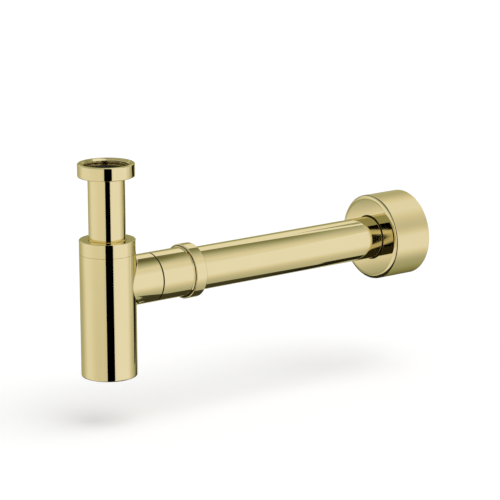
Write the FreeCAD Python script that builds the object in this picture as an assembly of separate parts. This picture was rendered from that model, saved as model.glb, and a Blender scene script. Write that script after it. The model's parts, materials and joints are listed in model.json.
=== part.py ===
"""Bottle trap for a wash basin: dip tube, bottle, waste pipe and wall flange, in millimetres.

The origin is the middle of the sealing face inside the inlet nut, where the basin waste lands.
+Z points up out of the inlet nut and +X runs along the waste pipe to the wall.
"""
import FreeCAD
import Part
import math
import os

# Tubes
inlet_tube_diameter = 31.75
inlet_tube_wall = 1.0
outlet_pipe_diameter = 38.1
outlet_pipe_wall = 1.0
outlet_pipe_length = 280.0

# Clearances
seal_clearance = 0.1
slip_clearance = 0.25
thread_clearance = 0.2
seat_clearance = 0.2
socket_clearance = 0.2
web_clearance = 0.4

# Inlet nut, washer and the tube's flange
inlet_thread_diameter = 39.0
inlet_nut_wall = 5.0
inlet_nut_height = 11.5
inlet_nut_lip = 1.7
inlet_nut_rounding = 1.0
inlet_mouth_chamfer = 1.8
inlet_undercut = 0.7
tube_flange_thickness = 1.2
tube_flange_play = 0.5
washer_thickness = 2.0
washer_width = 4.325
washer_play = 0.3

# Bottle
outlet_drop = 99.1
water_gap = 6.325
bottle_wall = 2.0
base_thickness = 2.3
base_rounding = 1.5
base_inner_rounding = 3.0
water_seal = 51.5
dip_gap = 8.5
shoulder_rise = 6.3
shoulder_wall = 2.1
neck_wall = 1.8
branch_reach = 19.3
branch_thread_wall = 1.5
junction_rounding = 1.2

# Collar nut and its packing
collar_height = 12.0
collar_wall = 2.0
collar_top_wall = 3.0
collar_rounding = 0.6
collar_hole_chamfer = 0.7
collar_ring_thickness = 2.0
collar_seal_height = 6.0
collar_seal_taper_height = 3.0
collar_seal_taper = 1.4
collar_tightening_gap = 1.2
collar_seam_chamfer = 0.15

# Outlet connector, nut and packing
sleeve_wall = 2.25
sleeve_length = 33.2
sleeve_seam_gap = 0.1
sleeve_seam_chamfer = 0.3
spigot_length = 12.0
spigot_clearance = 0.1
spigot_end_gap = 1.0
socket_stop = 2.5
stop_lip = 0.55
o_ring_cord = 1.6
o_ring_floor = 0.8
o_ring_groove_width = 2.0
o_ring_groove_offset = 2.0
outlet_thread_step = 0.5
outlet_nut_wall = 1.8
outlet_nut_length = 11.4
outlet_nut_front_wall = 3.4
outlet_nut_rounding = 0.6
outlet_ring_thickness = 1.6
outlet_seal_length = 4.1
outlet_seal_proud = 0.9
outlet_seal_nose = 0.3
outlet_seat_lip = 0.8
pipe_end_gap = 2.4
pipe_end_chamfer = 0.2

# Wall flange and grommet
flange_diameter = 77.0
flange_depth = 39.2
flange_plate = 2.5
flange_wall = 1.6
flange_rounding = 1.2
flange_inner_rounding = 0.8
flange_back_chamfer = 0.3
flange_overhang = 1.0
grommet_thickness = 1.95
grommet_recess = 0.3
grommet_lip_height = 2.0
grommet_lip_thickness = 1.5

# Radii that follow from the sizes above
tube_radius = inlet_tube_diameter / 2
pipe_radius = outlet_pipe_diameter / 2
inlet_thread_radius = inlet_thread_diameter / 2
inlet_nut_radius = inlet_thread_radius + inlet_nut_wall
tube_hole_radius = tube_radius + slip_clearance
bottle_inner_radius = tube_radius + water_gap
bottle_radius = bottle_inner_radius + bottle_wall
collar_bore_radius = bottle_radius - collar_wall
neck_radius = collar_bore_radius - thread_clearance
neck_bore_radius = neck_radius - neck_wall
collar_seal_radius = neck_bore_radius - seat_clearance
socket_radius = pipe_radius + socket_clearance
sleeve_radius = socket_radius + sleeve_wall
branch_bore_radius = sleeve_radius - branch_thread_wall
spigot_radius = branch_bore_radius - spigot_clearance
waterway_radius = pipe_radius - outlet_pipe_wall - stop_lip
outlet_thread_radius = sleeve_radius + outlet_thread_step
outlet_nut_bore_radius = outlet_thread_radius + thread_clearance
outlet_nut_radius = outlet_nut_bore_radius + outlet_nut_wall
outlet_seat_radius = outlet_thread_radius - outlet_seat_lip
outlet_seal_radius = outlet_seat_radius - seat_clearance
outlet_nose_radius = pipe_radius + seal_clearance + outlet_seal_nose
flange_radius = flange_diameter / 2
flange_hole_radius = pipe_radius + grommet_thickness

# Heights along the inlet, from the sealing face
tube_flange_top = -washer_thickness
tube_flange_bottom = tube_flange_top - tube_flange_thickness
inlet_nut_bottom = tube_flange_bottom - inlet_nut_lip
inlet_nut_top = inlet_nut_bottom + inlet_nut_height
outlet_axis = -outlet_drop
dip_end = outlet_axis - waterway_radius - water_seal
base_inside = dip_end - dip_gap
base_outside = base_inside - base_thickness
shoulder = outlet_axis + sleeve_radius + shoulder_rise
collar_top = shoulder + collar_height
collar_ceiling = collar_top - collar_top_wall
collar_ring_bottom = collar_ceiling - collar_ring_thickness
collar_seal_bottom = collar_ring_bottom - collar_seal_height
neck_top = collar_ceiling - collar_tightening_gap

# Places along the outlet, from the bottle's axis
branch_end = bottle_radius + branch_reach
spigot_start = branch_end - spigot_length
branch_bore_floor = spigot_start - spigot_end_gap
socket_floor = branch_end + socket_stop
sleeve_end = branch_end + sleeve_length
outlet_nut_end = sleeve_end + outlet_nut_length
outlet_ring_end = outlet_nut_end - outlet_nut_front_wall
outlet_ring_start = outlet_ring_end - outlet_ring_thickness
outlet_seal_start = outlet_ring_start - outlet_seal_length
connector_end = outlet_ring_start - outlet_seal_proud
outlet_taper_length = connector_end - outlet_seal_start
outlet_taper = (outlet_seal_radius - outlet_nose_radius) / outlet_taper_length
outlet_seat_start = connector_end - (outlet_seat_radius - socket_radius) / outlet_taper
pipe_start = socket_floor + pipe_end_gap
pipe_end = pipe_start + outlet_pipe_length
flange_back = pipe_end + flange_overhang
flange_front = flange_back - flange_depth
flange_plate_back = flange_front + flange_plate


def rounded_outline(corners):
    """Closed wire through (radius, along) corners. A third number rounds that corner with a tangent arc."""
    points = [FreeCAD.Vector(corner[0], 0, corner[1]) for corner in corners]
    edges = []
    last_end = None
    first_start = None
    for index, corner in enumerate(corners):
        here = points[index]
        start = here
        end = here
        arc = None
        if len(corner) == 3:
            to_before = (points[index - 1] - here).normalize()
            to_after = (points[(index + 1) % len(points)] - here).normalize()
            half_angle = to_before.getAngle(to_after) / 2
            setback = corner[2] / math.tan(half_angle)
            inward = (to_before + to_after).normalize()
            start = here + to_before * setback
            end = here + to_after * setback
            middle = here + inward * (corner[2] / math.sin(half_angle) - corner[2])
            arc = Part.Arc(start, middle, end).toShape()
        if last_end is None:
            first_start = start
        else:
            edges.append(Part.LineSegment(last_end, start).toShape())
        if arc:
            edges.append(arc)
        last_end = end
    edges.append(Part.LineSegment(last_end, first_start).toShape())
    return Part.Wire(edges)


def turned(corners):
    """Solid turned round +Z from a closed outline of (radius, along) corners."""
    section = Part.Face(rounded_outline(corners))
    return section.revolve(FreeCAD.Vector(0, 0, 0), FreeCAD.Vector(0, 0, 1), 360)


def along_outlet(shape):
    """Turn a shape made along +Z so that it lies along +X on the outlet's axis."""
    shape.rotate(FreeCAD.Vector(0, 0, 0), FreeCAD.Vector(0, 1, 0), 90)
    shape.translate(FreeCAD.Vector(0, 0, outlet_axis))
    return shape


def ring(inner_radius, outer_radius, start, end):
    """Plain ring between two places along +Z."""
    return turned([
        (inner_radius, start),
        (outer_radius, start),
        (outer_radius, end),
        (inner_radius, end),
    ])


def make_inlet_nut():
    """Union nut: a lip under the tube's flange, an undercut, and a thread that opens upwards."""
    undercut_radius = inlet_thread_radius + inlet_undercut
    return turned([
        (tube_hole_radius, inlet_nut_bottom),
        (inlet_nut_radius, inlet_nut_bottom, inlet_nut_rounding),
        (inlet_nut_radius, inlet_nut_top, inlet_nut_rounding),
        (inlet_thread_radius + inlet_mouth_chamfer, inlet_nut_top),
        (inlet_thread_radius, inlet_nut_top - inlet_mouth_chamfer),
        (inlet_thread_radius, 0),
        (undercut_radius, -inlet_undercut),
        (undercut_radius, tube_flange_bottom),
        (tube_hole_radius, tube_flange_bottom),
    ])


def make_inlet_washer():
    """Flat washer that lies on the tube's flange and seals against the basin waste."""
    washer_radius = inlet_thread_radius - washer_play
    return ring(washer_radius - washer_width, washer_radius, tube_flange_top, 0)


def make_inlet_tube():
    """Dip tube with a flared flange at the top and an open end below the water line."""
    flange_outer_radius = inlet_thread_radius - tube_flange_play
    return turned([
        (tube_radius - inlet_tube_wall, dip_end),
        (tube_radius, dip_end),
        (tube_radius, tube_flange_bottom),
        (flange_outer_radius, tube_flange_bottom),
        (flange_outer_radius, tube_flange_top),
        (tube_radius - inlet_tube_wall, tube_flange_top),
    ])


def make_collar_nut():
    """Compression nut on the bottle's neck, flush with the bottle's wall."""
    return turned([
        (collar_bore_radius, shoulder),
        (bottle_radius - collar_seam_chamfer, shoulder),
        (bottle_radius, shoulder + collar_seam_chamfer),
        (bottle_radius, collar_top, collar_rounding),
        (tube_hole_radius + collar_hole_chamfer, collar_top),
        (tube_hole_radius, collar_top - collar_hole_chamfer),
        (tube_hole_radius, collar_ceiling),
        (collar_bore_radius, collar_ceiling),
    ])


def make_collar_slip_ring():
    """Plastic ring that lets the collar nut turn without dragging the seal."""
    return ring(tube_hole_radius, collar_seal_radius, collar_ring_bottom, collar_ceiling)


def make_collar_seal():
    """Conical rubber seal, squeezed between the neck's seat and the slip ring."""
    return turned([
        (tube_radius + seal_clearance, collar_seal_bottom),
        (collar_seal_radius - collar_seal_taper, collar_seal_bottom),
        (collar_seal_radius, collar_seal_bottom + collar_seal_taper_height),
        (collar_seal_radius, collar_ring_bottom),
        (tube_radius + seal_clearance, collar_ring_bottom),
    ])


def make_bottle():
    """Bottle, neck and branch in one piece: turned outside, side branch, then the hollows."""
    outside = turned([
        (0, base_outside),
        (bottle_radius, base_outside, base_rounding),
        (bottle_radius, shoulder - collar_seam_chamfer),
        (bottle_radius - collar_seam_chamfer, shoulder),
        (neck_radius, shoulder),
        (neck_radius, neck_top),
        (0, neck_top),
    ])
    branch = along_outlet(turned([
        (0, 0),
        (sleeve_radius, 0),
        (sleeve_radius, branch_end - sleeve_seam_chamfer),
        (sleeve_radius - sleeve_seam_chamfer, branch_end),
        (0, branch_end),
    ]))
    body = outside.fuse(branch)
    junction = [edge for edge in body.Edges if isinstance(edge.Curve, Part.BSplineCurve)]
    body = body.makeFillet(junction_rounding, junction)
    hollow = turned([
        (0, base_inside),
        (bottle_inner_radius, base_inside, base_inner_rounding),
        (bottle_inner_radius, shoulder - shoulder_wall),
        (tube_radius + web_clearance, shoulder - shoulder_wall),
        (tube_radius + web_clearance, collar_seal_bottom),
        (neck_bore_radius - collar_seal_taper, collar_seal_bottom),
        (neck_bore_radius, collar_seal_bottom + collar_seal_taper_height),
        (neck_bore_radius, neck_top),
        (0, neck_top),
    ])
    waterway = along_outlet(turned([
        (0, 0),
        (waterway_radius, 0),
        (waterway_radius, branch_bore_floor),
        (branch_bore_radius, branch_bore_floor),
        (branch_bore_radius, branch_end),
        (0, branch_end),
    ]))
    return body.cut(hollow).cut(waterway)


def make_outlet_connector():
    """Sleeve screwed into the branch, with a socket for the waste pipe and a threaded end."""
    groove_start = spigot_start + o_ring_groove_offset
    groove_end = groove_start + o_ring_groove_width
    groove_radius = waterway_radius + o_ring_floor
    sleeve_start = branch_end + sleeve_seam_gap
    return along_outlet(turned([
        (waterway_radius, spigot_start),
        (spigot_radius, spigot_start),
        (spigot_radius, groove_start),
        (groove_radius, groove_start),
        (groove_radius, groove_end),
        (spigot_radius, groove_end),
        (spigot_radius, sleeve_start),
        (sleeve_radius - sleeve_seam_chamfer, sleeve_start),
        (sleeve_radius, sleeve_start + sleeve_seam_chamfer),
        (sleeve_radius, sleeve_end),
        (outlet_thread_radius, sleeve_end),
        (outlet_thread_radius, connector_end),
        (outlet_seat_radius, connector_end),
        (socket_radius, outlet_seat_start),
        (socket_radius, socket_floor),
        (waterway_radius, socket_floor),
    ]))


def make_connector_o_ring():
    """Round rubber ring in the spigot's groove."""
    groove_middle = spigot_start + o_ring_groove_offset + o_ring_groove_width / 2
    cord_centre = (waterway_radius + o_ring_floor + branch_bore_radius) / 2
    cord = Part.makeTorus(cord_centre, o_ring_cord / 2)
    cord.translate(FreeCAD.Vector(0, 0, groove_middle))
    return along_outlet(cord)


def make_outlet_nut():
    """Raised compression nut that closes the connector on the waste pipe."""
    pipe_hole_radius = pipe_radius + slip_clearance
    return along_outlet(turned([
        (outlet_nut_bore_radius, sleeve_end),
        (outlet_nut_radius, sleeve_end, outlet_nut_rounding),
        (outlet_nut_radius, outlet_nut_end, outlet_nut_rounding),
        (pipe_hole_radius, outlet_nut_end),
        (pipe_hole_radius, outlet_ring_end),
        (outlet_nut_bore_radius, outlet_ring_end),
    ]))


def make_outlet_slip_ring():
    """Plastic ring between the outlet nut and its seal."""
    ring_radius = outlet_thread_radius - seat_clearance
    return along_outlet(ring(pipe_radius + slip_clearance, ring_radius, outlet_ring_start, outlet_ring_end))


def make_outlet_seal():
    """Conical rubber seal round the waste pipe, parallel to its seat in the connector's mouth."""
    inner_radius = pipe_radius + seal_clearance
    return along_outlet(turned([
        (inner_radius, outlet_seal_start),
        (outlet_nose_radius, outlet_seal_start),
        (outlet_seal_radius, connector_end),
        (outlet_seal_radius, outlet_ring_start),
        (inner_radius, outlet_ring_start),
    ]))


def make_outlet_pipe():
    """Straight waste pipe from the connector's socket to the wall."""
    inner_radius = pipe_radius - outlet_pipe_wall
    return along_outlet(turned([
        (inner_radius, pipe_start),
        (pipe_radius - pipe_end_chamfer, pipe_start),
        (pipe_radius, pipe_start + pipe_end_chamfer),
        (pipe_radius, pipe_end - pipe_end_chamfer),
        (pipe_radius - pipe_end_chamfer, pipe_end),
        (inner_radius, pipe_end),
    ]))


def make_wall_flange():
    """Deep round cover, open towards the wall, with a hole for the pipe and its grommet."""
    inner_radius = flange_radius - flange_wall
    return along_outlet(turned([
        (flange_hole_radius, flange_front),
        (flange_radius, flange_front, flange_rounding),
        (flange_radius, flange_back - flange_back_chamfer),
        (flange_radius - flange_back_chamfer, flange_back),
        (inner_radius, flange_back),
        (inner_radius, flange_plate_back, flange_inner_rounding),
        (flange_hole_radius, flange_plate_back),
    ]))


def make_flange_grommet():
    """Rubber ring in the flange's hole, with a lip behind the front plate."""
    neck = flange_hole_radius - seal_clearance
    lip = flange_hole_radius + grommet_lip_height
    return along_outlet(turned([
        (pipe_radius + seal_clearance, flange_front + grommet_recess),
        (neck, flange_front + grommet_recess),
        (neck, flange_plate_back),
        (lip, flange_plate_back),
        (lip, flange_plate_back + grommet_lip_thickness),
        (pipe_radius + seal_clearance, flange_plate_back + grommet_lip_thickness),
    ]))


pieces = {
    "inlet_nut": make_inlet_nut,
    "inlet_washer": make_inlet_washer,
    "inlet_tube": make_inlet_tube,
    "collar_nut": make_collar_nut,
    "collar_slip_ring": make_collar_slip_ring,
    "collar_seal": make_collar_seal,
    "bottle": make_bottle,
    "outlet_connector": make_outlet_connector,
    "connector_o_ring": make_connector_o_ring,
    "outlet_nut": make_outlet_nut,
    "outlet_slip_ring": make_outlet_slip_ring,
    "outlet_seal": make_outlet_seal,
    "outlet_pipe": make_outlet_pipe,
    "wall_flange": make_wall_flange,
    "flange_grommet": make_flange_grommet,
}

os.makedirs("parts", exist_ok=True)
for name, make in pieces.items():
    shape = make()
    shape.exportStep(f"parts/{name}.step")
    print(name, shape.ShapeType, "valid" if shape.isValid() else "INVALID", round(shape.Volume, 1), "mm3")
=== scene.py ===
# %% [markdown]
# # A polished brass bottle trap
#
# A bottle trap hangs under a wash basin. Waste water runs down a dip tube into a round bottle, turns at
# the bottom, rises round the tube and leaves through a side branch and a long pipe to the wall. The water
# that stays in the bottle keeps the smell of the drain out of the room.
#
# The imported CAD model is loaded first, because it gives every size, place and joint. It is never moved:
# each of its pieces is made again here as a finer mesh that rides on the same body.

# %% Load the frame
import json
import math

import bpy
import numpy as np
from mathutils import Matrix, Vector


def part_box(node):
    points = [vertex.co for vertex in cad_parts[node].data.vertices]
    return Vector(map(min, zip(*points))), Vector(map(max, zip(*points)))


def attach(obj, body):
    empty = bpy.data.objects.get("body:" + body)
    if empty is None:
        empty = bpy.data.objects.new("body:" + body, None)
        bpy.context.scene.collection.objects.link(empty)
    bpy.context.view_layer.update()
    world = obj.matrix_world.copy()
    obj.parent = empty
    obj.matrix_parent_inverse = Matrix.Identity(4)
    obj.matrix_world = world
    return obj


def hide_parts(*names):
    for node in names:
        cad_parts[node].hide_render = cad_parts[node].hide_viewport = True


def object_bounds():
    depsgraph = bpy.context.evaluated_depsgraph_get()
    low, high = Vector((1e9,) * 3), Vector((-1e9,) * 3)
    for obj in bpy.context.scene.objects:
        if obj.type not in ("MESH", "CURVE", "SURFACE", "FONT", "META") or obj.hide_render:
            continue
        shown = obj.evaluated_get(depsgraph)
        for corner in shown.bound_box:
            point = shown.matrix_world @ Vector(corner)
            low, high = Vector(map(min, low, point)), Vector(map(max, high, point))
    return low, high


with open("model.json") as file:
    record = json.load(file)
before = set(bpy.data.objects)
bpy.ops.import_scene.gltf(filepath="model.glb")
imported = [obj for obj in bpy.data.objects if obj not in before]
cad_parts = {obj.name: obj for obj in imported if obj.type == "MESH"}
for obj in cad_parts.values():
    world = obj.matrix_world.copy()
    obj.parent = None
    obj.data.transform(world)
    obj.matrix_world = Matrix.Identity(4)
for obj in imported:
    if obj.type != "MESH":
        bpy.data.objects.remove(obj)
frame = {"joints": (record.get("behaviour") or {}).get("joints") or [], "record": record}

cad_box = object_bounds()
print("CAD box in mm:", [[round(value * 1000, 1) for value in corner] for corner in cad_box])

# %% [markdown]
# ## Sizes from the frame
#
# Blender works in metres, and a turner thinks in millimetres. So the profiles below are drawn in
# millimetres and turned into metres once, when the mesh is filled. Outer sizes are read from the CAD
# boxes and mounts, so a change there moves the pieces here as well. Sizes of hidden steps, which no box
# shows, are named values.

# %% Read the frame's sizes
MM = 0.001
ALONG_X, ALONG_Z = 0, 2
record = frame["record"]
mounts = {mount["name"]: mount for mount in record["mounts"]}
body_of = {node: body for body, nodes in record["behaviour"]["bodies"].items() for node in nodes}
outlet_axis = mounts["outlet_bore"]["pos_m"][2] / MM
pipe_bore_radius = mounts["outlet_bore"]["dims"]["r_mm"]
inlet_thread_radius = mounts["inlet_thread"]["dims"]["r_mm"]
tube_radius = 31.75 / 2
tube_wall = 1.0
slip = 0.25


def reach(node, along):
    """Outer radius, start and end of a turned node in millimetres, read from its box.

    The CAD seam marks the true radius: it lies at +X on a piece along Z and below the axis on one along X.
    """
    low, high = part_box(node)
    radius = high.x / MM if along == ALONG_Z else outlet_axis - low.z / MM
    return [round(size, 3) for size in (radius, low[along] / MM, high[along] / MM)]


print("outlet axis at z", outlet_axis, "mm, pipe", reach("outlet_pipe", ALONG_X))

# %% [markdown]
# ## The lathe
#
# Almost every piece of a trap is turned on a lathe, and the spin tool or a screw modifier could do that
# here. But this metal is a mirror, and a mirror shows every facet. A mesh worked out by formula can carry
# the exact normal of the true curve in each corner of each face, so reflections run smooth over few
# faces.
#
# The lathe has three steps: `outline` draws a profile with straight runs and rounded corners, `turned`
# carries it round an axis, and `skin` welds such patches into one closed mesh.

# %% Profiles
ARC_STEPS = 8
SIDES = 192
THREAD_STEPS = 28
# The third finish paints the shade of narrow slots in nearly black.
POLISHED, INSIDE, SLOT_SHADE = 0, 1, 2
angles = np.linspace(0, 2 * np.pi, SIDES + 1)


def unit(vectors):
    """Vectors divided by their own lengths."""
    return vectors / np.linalg.norm(vectors, axis=-1, keepdims=True)


def outline(corners, closed=False):
    """Strips of (points, normals) along a profile of (radius, along, optional rounding) corners.

    A run's normal is its direction turned a quarter turn clockwise, which faces away from the metal when the
    metal lies to the left. A rounded corner is an arc tangent to both runs: its points are
    centre + side * rounding * normal, where the normal swings from one run's normal to the next, and side is
    +1 on an outer corner and -1 on an inner one.
    """
    spots = np.array([corner[:2] for corner in corners], float)
    rounding = np.array([corner[2] if len(corner) > 2 else 0.0 for corner in corners])
    ahead = unit(np.roll(spots, -1, axis=0) - spots)
    before = np.roll(ahead, 1, axis=0)
    leaving = np.stack([ahead[:, 1], -ahead[:, 0]], axis=1)
    arriving = np.roll(leaving, 1, axis=0)
    side = np.sign(before[:, 0] * ahead[:, 1] - before[:, 1] * ahead[:, 0])
    opening = np.maximum(1 + (arriving * leaving).sum(axis=1), 1e-9)
    centres = spots - (side * rounding / opening)[:, None] * (arriving + leaving)
    starts = centres + (side * rounding)[:, None] * arriving
    ends = centres + (side * rounding)[:, None] * leaving
    swing = np.linspace(0, 1, ARC_STEPS + 1)[:, None]
    strips = []
    for here in range(len(corners)):
        if rounding[here] > 0:
            normals = unit((1 - swing) * arriving[here] + swing * leaving[here])
            strips.append((centres[here] + side[here] * rounding[here] * normals, normals))
        there = (here + 1) % len(corners)
        run = np.stack([ends[here], starts[there]])
        if (there or closed) and np.ptp(run, axis=0).max() > 1e-6:
            strips.append((run, np.stack([leaving[here], leaving[here]])))
    return strips


print("outline ready,", ARC_STEPS, "steps to a rounded corner")


# %% [markdown]
# ### Turning and threads
#
# A profile is carried round its axis in small steps, and each strip of it becomes one grid of points. A
# screw thread is made in the same way, but its radius also depends on the angle, so that the groove
# climbs as it goes round. A screw modifier on a small tooth profile could make it too, but would not end
# in a smooth run-out.


# %% Turning
def round_axis(radius, length, along):
    """Grid of vectors (r cos a, r sin a, l) about Z, or (l, r cos a, r sin a) about the outlet."""
    ring = np.broadcast_arrays(radius * np.cos(angles), radius * np.sin(angles), length)
    order = (2, 0, 1) if along == ALONG_X else (0, 1, 2)
    return np.stack([ring[axis] for axis in order], axis=-1)


def centre_of(along):
    """Where the axis of a turned piece runs: through the origin, or along the outlet."""
    return np.array([0, 0, outlet_axis if along == ALONG_X else 0.0])


def turned(strips, along, finish=POLISHED):
    """Patches of (points, normals, finish): each strip of a profile carried once round the axis."""
    return [
        (
            round_axis(points[:, :1], points[:, 1:], along) + centre_of(along),
            round_axis(normals[:, :1], normals[:, 1:], along),
            finish,
        )
        for points, normals in strips
    ]


def smooth(share):
    """Smooth step 3 s^2 - 2 s^3, held between 0 and 1."""
    share = np.clip(share, 0, 1)
    return share * share * (3 - 2 * share)


def threaded(radius, depth, pitch, start, end, along, run_out=0.8, mouth=0.0, finish=INSIDE):
    """A screw thread as one patch, cut outwards into a nut (depth > 0) or inwards into a spigot (depth < 0).

    The radius is r + depth * groove, where groove is a smooth step of the wave
    (1 - cos(2 pi l / pitch - a)) / 2 from crest to 1: it climbs one pitch in each turn and leaves flat
    crests between narrow grooves. The thread fades out over run_out at both ends. A mouth keeps the radius
    above a cone that opens to r + mouth at the end, and there the thread doesn't fade. The normal is
    outward - (dr/da / r) * round - (dr/dl) * along, turned inward in a nut. On a helix, dr/da is
    -pitch / (2 pi) times dr/dl.
    """
    crest = 0.55
    rows = int(abs(end - start) / pitch * THREAD_STEPS) + 2
    length = np.linspace(start, end, rows)[:, None]
    from_start, from_end = np.abs(length - start), np.abs(end - length)
    fade = smooth(from_start / run_out) if mouth else smooth(np.minimum(from_start, from_end) / run_out)
    turn = 2 * np.pi * length / pitch - angles
    wave = (1 - np.cos(turn)) / 2
    reached = radius + depth * fade * smooth((wave - crest) / (1 - crest))
    per_turn = -np.gradient(reached, length[:, 0], axis=0) * pitch / (2 * np.pi)
    if mouth:
        cone = radius + mouth - from_end
        per_turn = np.where(cone > reached, 0, per_turn)
        reached = np.maximum(reached, cone)
    per_length = np.gradient(reached, length[:, 0], axis=0)
    outward = round_axis(np.ones((rows, 1)), np.zeros((rows, 1)), along)
    lengthways = round_axis(np.zeros((rows, 1)), np.ones((rows, 1)), along)
    onward = np.cross(lengthways, outward)
    facing = outward - (per_turn / reached)[..., None] * onward - per_length[..., None] * lengthways
    points = round_axis(reached, length, along) + centre_of(along)
    return points, unit(facing) * np.sign(-depth), finish


print("lathe ready,", SIDES, "sides")


# %% [markdown]
# ### Welding
#
# Each patch is a sheet of its own until its edges are welded to its neighbours. Welding by distance in
# Blender would do it too. Here places are rounded to a micrometre and equal ones are counted as one
# point, which gives the same result and lets the script count the edges that stay open.


# %% Welding patches into a mesh
def skin(name, patches):
    """One closed mesh from grid patches in millimetres.

    Every grid cell becomes a face, wound so that it looks the way its normals do. Corners that share a
    place to a micrometre are welded, and a cell that loses a corner at a pole becomes a triangle. Each
    corner keeps its own normal, so curves stay smooth and edges stay crisp.
    """
    corners, looks, finishes = [], [], []
    for points, normals, finish in patches:
        cells, facing = [
            np.stack([grid[:-1, :-1], grid[1:, :-1], grid[1:, 1:], grid[:-1, 1:]], axis=2).reshape(-1, 4, 3)
            for grid in (points, normals)
        ]
        across = np.cross(cells[:, 2] - cells[:, 0], cells[:, 3] - cells[:, 1])
        wind = 1 if (across * facing.mean(axis=1)).sum() > 0 else -1
        corners.append(cells[:, ::wind])
        looks.append(facing[:, ::wind])
        finishes.append(np.full(len(cells), finish))
    corners, looks, finishes = [np.concatenate(parts) for parts in (corners, looks, finishes)]
    places = corners.reshape(-1, 3)
    first, index = np.unique(np.round(places * 1000), axis=0, return_index=True, return_inverse=True)[1:]
    index = index.reshape(-1, 4)
    kept = index != np.roll(index, -1, axis=1)
    kept &= (kept.sum(axis=1) > 2)[:, None]
    sizes = kept.sum(axis=1)
    finishes, sizes = finishes[sizes > 0], sizes[sizes > 0]
    mesh = bpy.data.meshes.new(name)
    mesh.vertices.add(len(first))
    mesh.vertices.foreach_set("co", (places[first] * MM).ravel())
    mesh.loops.add(int(sizes.sum()))
    mesh.loops.foreach_set("vertex_index", index[kept].astype(np.int32))
    mesh.polygons.add(len(sizes))
    mesh.polygons.foreach_set("loop_start", (np.cumsum(sizes) - sizes).astype(np.int32))
    mesh.polygons.foreach_set("material_index", finishes.astype(np.int32))
    mesh.update(calc_edges=True)
    mesh.normals_split_custom_set(looks[kept])
    return mesh


def piece(node, patches, *finishes):
    """The finished piece that stands for a CAD node and rides on the node's own body."""
    mesh = skin(node + "_piece", patches)
    for finish in finishes:
        mesh.materials.append(finish)
    shape = bpy.data.objects.new(mesh.name, mesh)
    bpy.context.scene.collection.objects.link(shape)
    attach(shape, body_of[node])
    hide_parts(node)
    uses = np.zeros(len(mesh.loops), np.int32)
    mesh.loops.foreach_get("edge_index", uses)
    open_edges = int((np.bincount(uses) != 2).sum())
    print(f"{shape.name}: {len(mesh.polygons)} faces, {open_edges} open edges, rides on {body_of[node]}")
    return shape


print("skin and piece ready")

# %% [markdown]
# ## Finishes
#
# Five finishes cover the trap. The outside is brass, plated a pale gold and polished until it mirrors the
# room. The bores and threads inside are as the lathe left them. The walls of narrow slots are painted
# nearly black, as painted shade.
# Seals are black rubber, and slip rings are white plastic. Every pattern is procedural and reads Object
# coordinates, so it stays on the piece as it moves.


# %% A short way to add shader nodes
def shader(tree, kind, inputs, **settings):
    """Add one shader node. Inputs are set by name, and a socket given as a value is linked."""
    made = tree.nodes.new("ShaderNode" + kind)
    for name, value in settings.items():
        setattr(made, name, value)
    for name, value in inputs.items():
        if isinstance(value, bpy.types.NodeSocket):
            tree.links.new(value, made.inputs[name])
        else:
            made.inputs[name].default_value = value
    return made.outputs[0] if made.outputs else None


def blank_material(name):
    """An empty material: its node tree, the Object coordinate socket, and a function that closes it."""
    material = bpy.data.materials.new(name)
    material.use_nodes = True
    tree = material.node_tree
    tree.nodes.clear()
    place = tree.nodes.new("ShaderNodeTexCoord").outputs["Object"]

    def close(surface):
        shader(tree, "OutputMaterial", {"Surface": surface})
        print("finish:", name, len(tree.nodes), "nodes")
        return material

    return tree, place, close


def ramp(tree, factor, low, high):
    """A colour that goes from low to high with the factor."""
    colour = shader(tree, "ValToRGB", {"Fac": factor})
    stops = colour.node.color_ramp.elements
    stops[0].color = (*low, 1)
    stops[1].color = (*high, 1)
    return colour


def between(tree, factor, low, high):
    """A number that goes from low to high with the factor."""
    return shader(tree, "MapRange", {"Value": factor, "To Min": low, "To Max": high})


print("shader helpers ready")


# %% [markdown]
# ### Polished brass
#
# A polished plating is never perfectly even. Broad clouds shift its tone by a hair, the buffing wheel
# leaves waves far too low to feel, and fine hairlines make it a little less sharp in places. All three
# are here, kept so faint that the metal still reads as one clean mirror.


# %% Polished brass
def polished_brass():
    """Pale gold mirror: tone follows 20 mm clouds, roughness follows a fine haze, bump is a slow wave.

    Shader metals turn white at a grazing view. Brass hardly does, so a specular tint takes that back.
    """
    tree, place, close = blank_material("polished_brass_finish")
    clouds = shader(tree, "TexNoise", {"Vector": place, "Scale": 50.0, "Detail": 2.0})
    tone = ramp(tree, clouds, (0.765, 0.664, 0.380), (0.785, 0.688, 0.406))
    haze = shader(tree, "TexNoise", {"Vector": place, "Scale": 300.0, "Detail": 3.0, "Distortion": 1.5})
    gloss = between(tree, haze, 0.03, 0.055)
    waves = shader(tree, "TexNoise", {"Vector": place, "Scale": 70.0, "Detail": 1.0})
    buffed = shader(tree, "Bump", {"Strength": 1.0, "Distance": 0.000002, "Height": waves})
    return close(shader(tree, "BsdfPrincipled", {
        "Base Color": tone,
        "Metallic": 1.0,
        "Roughness": gloss,
        "Specular Tint": (0.92, 0.87, 0.66, 1.0),
        "Normal": buffed,
    }))


polished = polished_brass()

# %% [markdown]
# ### Turned brass
#
# Inside, the tool has left a fine spiral of grooves. A wave texture with bands across the axis gives
# those rings, so the function asks which way the piece was turned. A little noise keeps them from being
# too regular.


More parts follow.
